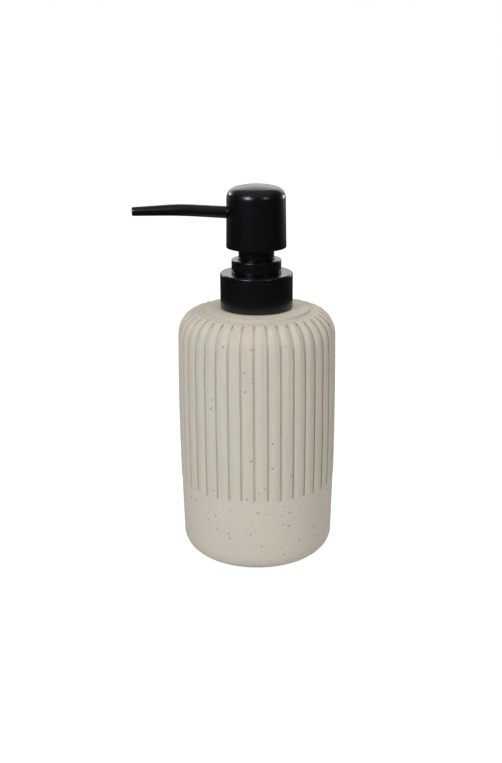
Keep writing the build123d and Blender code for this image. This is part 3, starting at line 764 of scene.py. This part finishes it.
def make_bottle(material):
    """The cast bottle, with soft-edged grooves, roof-shaped ribs and a plain foot stepped in under them."""
    outline = bottle_outline()
    r, z = outline[:, 0], outline[:, 1]
    along = np.concatenate([[0], np.cumsum(np.hypot(np.diff(r), np.diff(z)))])
    ahead = np.roll(outline, -1, 0) - np.roll(outline, 1, 0)
    ahead[0] = outline[1] - outline[0]
    ahead[-1] = outline[-1] - outline[-2]
    length = np.hypot(ahead[:, 0], ahead[:, 1])
    outward = np.stack([ahead[:, 1] / length, -ahead[:, 0] / length], 1)

    # columns: across one groove in mm, then over the rib as shares of its width
    across = [-d for d, _ in GROOVE_SHAPE[:0:-1]] + [d for d, _ in GROOVE_SHAPE]
    over = [step / RIB_STEPS for step in range(1, RIB_STEPS)]
    columns = len(across) + len(over)

    grooves = np.arange(GROOVES)
    chance = np.random.RandomState(7)
    centre_shift = 0.13 * chance.uniform(-1, 1, (GROOVES, 1)) + 0.07 * wander(11, GROOVES, (70, 23), along)
    width = 1 + 0.10 * chance.uniform(-1, 1, (GROOVES, 1)) + 0.07 * wander(12, GROOVES, (31, 9), along)
    depth = 1 - 0.12 * chance.uniform(0, 1, (GROOVES, 1)) + 0.08 * wander(13, GROOVES, (40, 13), along)
    foot_end = GROOVE_FOOT + 0.4 * chance.uniform(-1, 1, (GROOVES, 1))
    foot_slant = 0.45 * chance.uniform(-1, 1, (GROOVES, 1))
    top_end = GROOVE_END + 0.5 * chance.uniform(-1, 1, (GROOVES, 1))
    flare = 1 + SHOULDER_FLARE * eased(z, RING_TOP - 22, RING_TOP - 6)[None, :]
    depth = depth * flare
    roof = RIB_ROOF * flare * (1 + 0.2 * wander(14, GROOVES, (50, 19), along))

    outer = np.arange(len(outline)) < np.argmax(along > along[np.argmax(z)]) + 1
    reach_out = np.maximum(r, GROOVE_END - 3)
    pitch = 2 * math.pi / GROOVES
    step_foot = eased(z, FOOT_LEVEL + 1.0, FOOT_LEVEL + 12.0) * outer

    angles = np.zeros((len(outline), GROOVES, columns))
    sink = np.zeros_like(angles)
    groove_shade_and_dirt = np.zeros_like(angles)
    for column in range(columns):
        if column < len(across):
            offset = across[column]
            share = dict((abs(d), s) for d, s in GROOVE_SHAPE)[abs(offset)]
            lip = roof.T
            turn = (offset * width + centre_shift).T / reach_out[:, None]
        else:
            fraction = over[column - len(across)]
            share = 0
            ridge = 1 - abs(2 * fraction - 1)
            lip = (roof * (1 - ridge)).T
            next_shift = np.roll(centre_shift, -1, 0)
            next_width = np.roll(width, -1, 0)
            left = (GROOVE_EDGE * width + centre_shift).T / reach_out[:, None]
            right = pitch + (-GROOVE_EDGE * next_width + next_shift).T / reach_out[:, None]
            turn = left + (right - left) * fraction
            offset = 0
        end = foot_end + foot_slant * offset
        ribbed = eased(z[:, None], end.T - 0.35, end.T + 0.5)
        lip_ribbed = eased(z[:, None], foot_end.T - 0.8, foot_end.T + 1.1)
        top = eased(r[:, None], top_end.T - 0.5, top_end.T + 1.2)
        lip_top = eased(r[:, None], top_end.T - 1.5, top_end.T + 4.0)
        on_side = outer[:, None]
        cut = share * depth.T * ribbed * top * on_side
        plain = RIB_ROOF * step_foot[:, None] * (1 - lip_ribbed)
        sink[:, :, column] = GROOVE_DEPTH * cut + lip * lip_ribbed * lip_top * on_side * (1 - cut) + plain
        groove_shade_and_dirt[:, :, column] = cut
        angles[:, :, column] = FIRST_GROOVE + pitch * grooves[None, :] + turn

    flat = (len(outline), GROOVES * columns)
    angles, sink, groove_shade_and_dirt = angles.reshape(flat), sink.reshape(flat), groove_shade_and_dirt.reshape(flat)
    # slight hand-cast unevenness of the whole wall, inwards only
    swell = 0.10 * (1 + np.sin(3 * angles + z[:, None] / 17) * np.cos(z[:, None] / 23)) / 2
    sink = sink + swell * step_foot[:, None]
    radius = r[:, None] - sink * outward[:, 0:1]
    height = z[:, None] - sink * outward[:, 1:2]
    vertices = np.stack([radius * np.cos(angles), radius * np.sin(angles), height], 2) * MM

    count = GROOVES * columns
    poles = r < 1e-6
    index = np.arange(len(outline) * count).reshape(len(outline), count)
    faces = []
    for row in range(len(outline) - 1):
        low, high = index[row], index[row + 1]
        if poles[row]:
            faces += [(low[0], high[(c + 1) % count], high[c]) for c in range(count)]
        elif poles[row + 1]:
            faces += [(low[c], low[(c + 1) % count], high[0]) for c in range(count)]
        else:
            faces += [(low[c], low[(c + 1) % count], high[(c + 1) % count], high[c]) for c in range(count)]
    bottle = finish_piece(
        "ribbed_bottle",
        vertices.reshape(-1, 3).tolist(),
        [tuple(int(v) for v in face) for face in faces],
        material,
        "bottle",
        ["bottle_body"],
        crease=math.radians(70),
    )
    # The groove attribute carries each groove's depth share, which the cement uses for dirt and painted
    # shade in the grooves.
    attribute = bottle.data.attributes.new("groove", "FLOAT", "POINT")
    attribute.data.foreach_set("value", groove_shade_and_dirt.reshape(-1))
    drop_loose(bottle)
    return bottle


# ------------------------------------------------------------------ pump, outside
LATHE_SEGMENTS = 192
SLEEVE_WALL = 1.0
SLEEVE_TOP_WALL = 1.0
SLEEVE_HOLE = CUP_RADIUS + 0.25
LOCK_BORE = 8.45
LOCK_HEIGHT = 6.1
LOCK_FLOOR = 1.0
LOCK_PLUG_WALL = 1.0
STEM_HOLE = 3.6

HEAD_TAPER = 0.35
HEAD_WALL = 1.2
HEAD_CORNER = 5.1
HEAD_CROWN = 35.0
HEAD_EDGE = 3               # height of the rounded lower edge's own part of the outline

SPOUT_ROOT = (6.5, 15.7)    # reach from the axis and height above the head's lower edge
SPOUT_KNEE = (34.7, 17.4)
SPOUT_TIP = (56.6, 16.7)
SPOUT_BEND = 150.0
SPOUT_RADII = (2.8, 2.7, 2.03)
SPOUT_WALLS = (1.05, 1.05, 0.8)
SPOUT_HOLE_GAP = 0.1
SPOUT_HOLE_REACH = (3.0, 12.0)  # where the drill for the spout's hole starts and ends along the spout


def make_sleeve(material):
    """The collar's smooth outer sleeve."""
    core = SLEEVE_RADIUS - SLEEVE_WALL
    outline = rounded(
        [
            (core, SLEEVE_FOOT, 0.15),
            (SLEEVE_RADIUS, SLEEVE_FOOT, 0.3),
            (SLEEVE_RADIUS, SLEEVE_TOP, 0.8),
            (SLEEVE_HOLE, SLEEVE_TOP, 0.15),
            (SLEEVE_HOLE, SLEEVE_TOP - SLEEVE_TOP_WALL, 0.1),
            (core, SLEEVE_TOP - SLEEVE_TOP_WALL, 0),
        ],
        steps=8,
    )
    vertices, faces = lathe(outline, LATHE_SEGMENTS)
    finish_piece("collar_sleeve", vertices, faces, material, "closure", ["closure_sleeve"])


def make_lock_collar(material):
    """The small black ring on the collar, with its plug and floor inside."""
    seat = LOCK_TOP - LOCK_HEIGHT
    outline = rounded(
        [
            (STEM_HOLE, LOCK_FOOT, 0.1),
            (CUP_RADIUS - LOCK_PLUG_WALL, LOCK_FOOT, 0.2),
            (CUP_RADIUS - LOCK_PLUG_WALL, seat, 0),
            (LOCK_RADIUS, seat, 0.3),
            (LOCK_RADIUS, LOCK_TOP, 0.5),
            (LOCK_BORE, LOCK_TOP, 0.3),
            (LOCK_BORE, LOCK_FOOT + LOCK_FLOOR, 0.1),
            (STEM_HOLE, LOCK_FOOT + LOCK_FLOOR, 0.1),
        ],
        steps=7,
    )
    vertices, faces = lathe(outline, LATHE_SEGMENTS)
    finish_piece("lock_ring", vertices, faces, material, "pump_unit", ["lock_collar"])


def head_outline(inset):
    """Half section of the head from its lower edge to the crown, set in by inset."""
    high_radius = HEAD_RADIUS - HEAD_TAPER
    corner_radius = HEAD_CORNER - inset
    crown_radius = HEAD_CROWN - inset
    corner_r = high_radius - HEAD_CORNER
    crown_z = HEAD_TOP - HEAD_CROWN
    corner_z = crown_z + math.sqrt((HEAD_CROWN - HEAD_CORNER) ** 2 - corner_r**2)
    join = math.atan2(corner_z - crown_z, corner_r)
    points = [(corner_r + corner_radius * math.cos(a), corner_z + corner_radius * math.sin(a))
              for a in np.linspace(0, join, 28)]
    points += [(crown_radius * math.cos(a), crown_z + crown_radius * math.sin(a))
               for a in np.linspace(join, math.pi / 2, 16)[1:-1]]
    points.append((0, crown_z + crown_radius))
    return points


def make_head(material):
    """The press head: a thin crowned cap with a hole for the spout."""
    edge = rounded(
        [
            (HEAD_RADIUS - HEAD_WALL, HEAD_FOOT + HEAD_EDGE, 0),
            (HEAD_RADIUS - HEAD_WALL, HEAD_FOOT, 0.25),
            (HEAD_RADIUS, HEAD_FOOT, 0.4),
            (HEAD_RADIUS, HEAD_FOOT + HEAD_EDGE, 0),
        ]
    )
    outside = head_outline(0)
    inside = head_outline(HEAD_WALL)[::-1]
    rise = np.linspace(HEAD_FOOT + HEAD_EDGE, outside[0][1], 10)[1:-1]
    slope = HEAD_TAPER / (outside[0][1] - HEAD_FOOT)
    wall = [(HEAD_RADIUS - slope * (z - HEAD_FOOT), z) for z in rise]
    edge = [(r - slope * (z - HEAD_FOOT), z) for r, z in edge]
    back = [(r - HEAD_WALL, z) for r, z in wall[::-1]]
    vertices, faces = lathe(edge + wall + outside + inside + back, LATHE_SEGMENTS)
    head = finish_piece("press_head", vertices, faces, material, "head", ["head_shell"])
    path = spout_path()
    start = path[0]
    direction = (path[1] - path[0]).normalized()
    drill = [start + direction * t * MM for t in SPOUT_HOLE_REACH]
    hole_radius = (SPOUT_RADII[0] + SPOUT_HOLE_GAP) * MM
    bore_vertices, bore_faces = sweep_tube(drill, [hole_radius] * 2, [0, 0], 96)
    cutter_mesh = bpy.data.meshes.new("spout_drill")
    cutter_mesh.from_pydata(bore_vertices, [], bore_faces)
    cutter = bpy.data.objects.new("spout_drill", cutter_mesh)
    bpy.context.scene.collection.objects.link(cutter)
    cut = head.modifiers.new("spout_hole", "BOOLEAN")
    cut.operation = "DIFFERENCE"
    cut.solver = "EXACT"
    cut.object = cutter
    apply_modifiers(head)
    bpy.data.objects.remove(cutter)
    head.data.polygons.foreach_set("use_smooth", [True] * len(head.data.polygons))
    head.data.set_sharp_from_angle(angle=SEAM_ANGLE)


def apply_modifiers(piece):
    """Turns a piece's modifiers into its mesh."""
    graph = bpy.context.evaluated_depsgraph_get()
    mesh = bpy.data.meshes.new_from_object(piece.evaluated_get(graph))
    piece.modifiers.clear()
    piece.data = mesh


def drop_loose(piece):
    """Deletes vertices that no face uses, as round a pole."""
    shape = bmesh.new()
    shape.from_mesh(piece.data)
    loose = [v for v in shape.verts if not v.link_faces]
    bmesh.ops.delete(shape, geom=loose, context="VERTS")
    shape.to_mesh(piece.data)
    shape.free()


def spout_path():
    """The spout's middle line: two straight runs joined by one wide arc, from the root to the tip."""
    root, knee, tip = [Vector((-x, 0, HEAD_FOOT + z)) * MM for x, z in (SPOUT_ROOT, SPOUT_KNEE, SPOUT_TIP)]
    first = (knee - root).normalized()
    second = (tip - knee).normalized()
    turn = first.angle(second)
    trim = SPOUT_BEND * MM * math.tan(turn / 2)
    start = knee - first * trim
    points = [root.lerp(start, share) for share in rising(0, 1, 14)]
    inward = (second - first).normalized()
    centre = knee + inward * (SPOUT_BEND * MM / math.cos(turn / 2))
    axis = first.cross(second).normalized()
    for share in rising(0, 1, 16):
        points.append(centre + Matrix.Rotation(turn * share, 3, axis) @ (start - centre))
    end = knee + second * trim
    points += [end.lerp(tip, share) for share in np.linspace(0, 1, 14)]
    return points


def make_spout(material):
    """The slim tapered spout tube, with a rounded lip."""
    path = spout_path()
    reach_all = path[0].x - path[-1].x
    knee = (SPOUT_KNEE[0] - SPOUT_ROOT[0]) * MM / reach_all
    shares = [(path[0].x - point.x) / reach_all for point in path]
    radii = np.interp(shares, (0, knee, 1), SPOUT_RADII) * MM
    walls = np.interp(shares, (0, knee, 1), SPOUT_WALLS) * MM
    bores = radii - walls
    lip = 0.25 * MM
    tip, before = path[-1], path[-2]
    along = (tip - before).normalized()
    for angle in np.radians((20, 45, 70, 90)):
        path.insert(len(path) - 1, tip - along * lip * (1 - math.sin(angle)))
        radii = np.insert(radii, len(radii) - 1, radii[-1] - lip * (1 - math.cos(angle)))
        bores = np.insert(bores, len(bores) - 1, bores[-1] + lip * 0.5 * (1 - math.cos(angle)))
    path.pop()
    radii, bores = radii[:-1], bores[:-1]
    vertices, faces = sweep_tube(path, list(radii), list(bores), 64)
    finish_piece("spout_tube", vertices, faces, material, "head", ["spout"])


# ------------------------------------------------------------------ pump, inside
SPRING_WIRE = 0.4
SPRING_TURNS = 11
SPRING_STEPS = 28           # points in a turn


def make_spring(material):
    """The return spring, wound at an even pitch from end to end."""
    helix = SPRING_RADIUS - SPRING_WIRE
    low, high = SPRING_FOOT + SPRING_WIRE, SPRING_TOP - SPRING_WIRE
    path = []
    total = SPRING_TURNS * SPRING_STEPS
    for step in range(total + 1):
        angle = 2 * math.pi * step / SPRING_STEPS
        height = low + (high - low) * step / total
        path.append(Vector((helix * math.cos(angle), helix * math.sin(angle), height)) * MM)
    count = len(path)
    vertices, faces = sweep_tube(path, [SPRING_WIRE * MM] * count, [0] * count, 12)
    spring = finish_piece("coil_spring", vertices, faces, material, "pump_unit", ["return_spring"])
    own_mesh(spring)


def give_finish(material, nodes):
    """Puts a material on CAD nodes that keep their own shape."""
    for node in nodes:
        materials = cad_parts[node].data.materials
        materials.clear()
        materials.append(material)


make_studio()
black = moulded_plastic("black_plastic", (0.0018, 0.0025, 0.0034), 0.27, 0.000002, 0.004)
natural = moulded_plastic("natural_plastic", (0.62, 0.62, 0.58), 0.38, 0.00002, 0.01)
gasket = moulded_plastic("gasket_rubber", (0.5, 0.5, 0.49), 0.6, 0.00003, 0.01)
steel = stainless()
make_bottle(cast_cement())
make_sleeve(black)
make_lock_collar(black)
make_head(black)
make_spout(black)
make_spring(steel)
give_finish(black, ("actuator_core",))
give_finish(natural, ("neck_insert", "closure_core", "pump_housing", "dip_tube"))
give_finish(natural, ("ball_cage", "piston_seat", "piston", "stem"))
give_finish(gasket, ("neck_gasket",))
give_finish(steel, ("inlet_ball",))
give_finish(soft_foam(), ("base_pad",))
